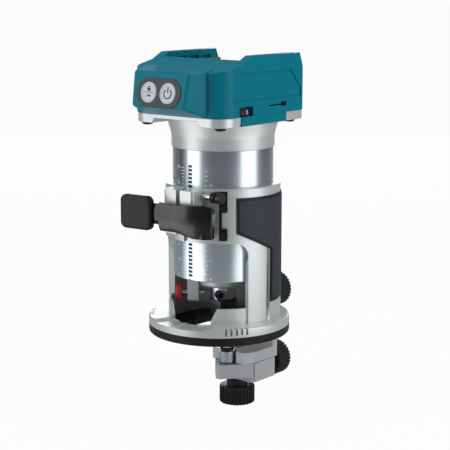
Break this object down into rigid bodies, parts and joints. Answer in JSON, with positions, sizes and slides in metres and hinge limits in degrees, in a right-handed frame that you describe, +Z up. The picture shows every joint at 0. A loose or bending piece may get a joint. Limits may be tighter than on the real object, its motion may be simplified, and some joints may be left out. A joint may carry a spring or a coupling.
{
  "type": "trim router",
  "caption": "Battery trim router without its battery: teal top housing, silver motor tube in a clamped round base, and a roller trimmer guide with three knurled knobs.",
  "frame": {"origin": "centre of the sub-base's flat underside, on the spindle axis", "axes": "+Z up along the spindle, -Y towards the locking lever and the buttons, +X to the user's right"},
  "size_m": [0.0924, 0.1243, 0.2359],
  "materials": {
    "teal_plastic": "satin",
    "cast_silver": "satin",
    "turned_silver": "polished",
    "black_plastic": "matte",
    "lever_black": "gloss",
    "grey_rubber": "matte",
    "plain_steel": "satin",
    "dark_steel": "satin",
    "zinc_steel": "satin",
    "copper_wire": "satin",
    "red_plastic": "gloss",
    "white_plastic": "gloss",
    "clear_lens": "gloss",
    "green_board": "satin",
    "brown_plastic": "matte"
  },
  "bodies": {
    "base": {"base_foot": "cast_silver", "base_columns": "cast_silver", "base_collar": "cast_silver", "sub_base": "black_plastic", "sub_base_screws": "plain_steel", "grip_right": "grey_rubber", "grip_left": "grey_rubber", "chip_cover": "black_plastic", "pinion_bracket": "black_plastic", "bracket_screws": "dark_steel", "clamp_bolt": "dark_steel", "clamp_nut": "plain_steel", "lever_barrel": "plain_steel", "guide_holder": "cast_silver"},
    "lever": {"locking_lever": "lever_black"},
    "depth_shaft": {"depth_pinion": "plain_steel", "depth_knob": "black_plastic"},
    "motor": {"motor_tube": "turned_silver", "motor_flange": "cast_silver", "housing_screws": "dark_steel", "led_lenses": "clear_lens", "battery_housing": "teal_plastic", "control_panel": "black_plastic", "switch_board": "green_board", "speed_pot": "black_plastic", "controller_board": "green_board", "board_components": "black_plastic", "terminal_block": "brown_plastic", "battery_terminals": "copper_wire", "stator_core": "plain_steel", "stator_windings": "copper_wire", "lower_bearing_outer": "plain_steel", "lower_bearing_balls": "plain_steel", "upper_bearing_outer": "plain_steel", "upper_bearing_balls": "plain_steel", "bearing_retainer": "cast_silver", "bearing_bridge": "cast_silver", "shaft_lock_holder": "cast_silver"},
    "rotor": {"spindle": "plain_steel", "collet_cone": "plain_steel", "rotor_core": "plain_steel", "cooling_fan": "black_plastic", "lower_bearing_inner": "plain_steel", "upper_bearing_inner": "plain_steel"},
    "nut": {"collet_nut": "dark_steel"},
    "dial": {"speed_dial": "black_plastic"},
    "power_key": {"power_button": "white_plastic"},
    "light_key": {"light_button": "white_plastic"},
    "shaft_lock": {"shaft_lock_button": "red_plastic"},
    "holder_clamp": {"holder_clamp_knob": "black_plastic", "holder_clamp_stud": "plain_steel"},
    "guide_block": {"guide_slide": "cast_silver", "roller_screw": "dark_steel"},
    "roller": {"guide_roller": "zinc_steel"},
    "feed": {"guide_feed_screw": "plain_steel", "guide_feed_knob": "black_plastic"},
    "slide_clamp": {"slide_clamp_knob": "black_plastic", "slide_clamp_stud": "plain_steel"}
  },
  "joints": [
    {"name": "depth_slide", "type": "slide", "parent": "base", "child": "motor", "axis": [0, 0, 1], "range_m": [-0.0125, 0.0275]},
    {"name": "depth_turn", "type": "hinge", "parent": "base", "child": "depth_shaft", "pos_m": [0, -0.03518, 0.0936], "axis": [1, 0, 0], "range_deg": [-199.5, 438.5]},
    {"name": "lever_swing", "type": "hinge", "parent": "base", "child": "lever", "pos_m": [0.019, -0.0402, 0.078], "axis": [0, 0, 1], "range_deg": [0, 100]},
    {"name": "spindle_turn", "type": "hinge", "parent": "motor", "child": "rotor", "pos_m": [0, 0, 0.06], "axis": [0, 0, 1], "continuous": true},
    {"name": "nut_turn", "type": "hinge", "parent": "rotor", "child": "nut", "pos_m": [0, 0, 0.0156], "axis": [0, 0, 1], "range_deg": [-360, 360]},
    {"name": "speed_turn", "type": "hinge", "parent": "motor", "child": "dial", "pos_m": [0.0303, -0.0235, 0.1474], "axis": [0, 0, 1], "range_deg": [-240, 0]},
    {"name": "power_press", "type": "slide", "parent": "motor", "child": "power_key", "axis": [0, 0.9831, -0.1829], "range_m": [0, 0.0008], "stiffness_N_per_m": 900, "springref_m": -0.0008},
    {"name": "light_press", "type": "slide", "parent": "motor", "child": "light_key", "axis": [0, 0.9831, -0.1829], "range_m": [0, 0.0008], "stiffness_N_per_m": 900, "springref_m": -0.0008},
    {"name": "shaft_lock_press", "type": "slide", "parent": "motor", "child": "shaft_lock", "axis": [0.829, 0.5592, 0], "range_m": [0, 0.0035], "stiffness_N_per_m": 600, "springref_m": -0.003},
    {"name": "holder_clamp_turn", "type": "hinge", "parent": "base", "child": "holder_clamp", "pos_m": [0, 0.05, 0.0165], "axis": [0, 1, 0], "range_deg": [0, 720]},
    {"name": "feed_turn", "type": "hinge", "parent": "base", "child": "feed", "pos_m": [0, 0.05, -0.0325], "axis": [0, 1, 0], "range_deg": [-361, 2881]},
    {"name": "guide_feed", "type": "slide", "parent": "base", "child": "guide_block", "axis": [0, 1, 0], "range_m": [-0.008, 0.001]},
    {"name": "roller_turn", "type": "hinge", "parent": "guide_block", "child": "roller", "pos_m": [0, 0.0042, -0.0205], "axis": [0, 0, 1], "continuous": true},
    {"name": "slide_clamp_turn", "type": "hinge", "parent": "base", "child": "slide_clamp", "pos_m": [0, 0.015, -0.045], "axis": [0, 0, 1], "range_deg": [0, 720]}
  ],
  "couplings": [
    {"joint": "depth_turn", "follows": "depth_slide", "rad_per_m": 277.78},
    {"joint": "feed_turn", "follows": "guide_feed", "rad_per_m": -6283.2}
  ]
}
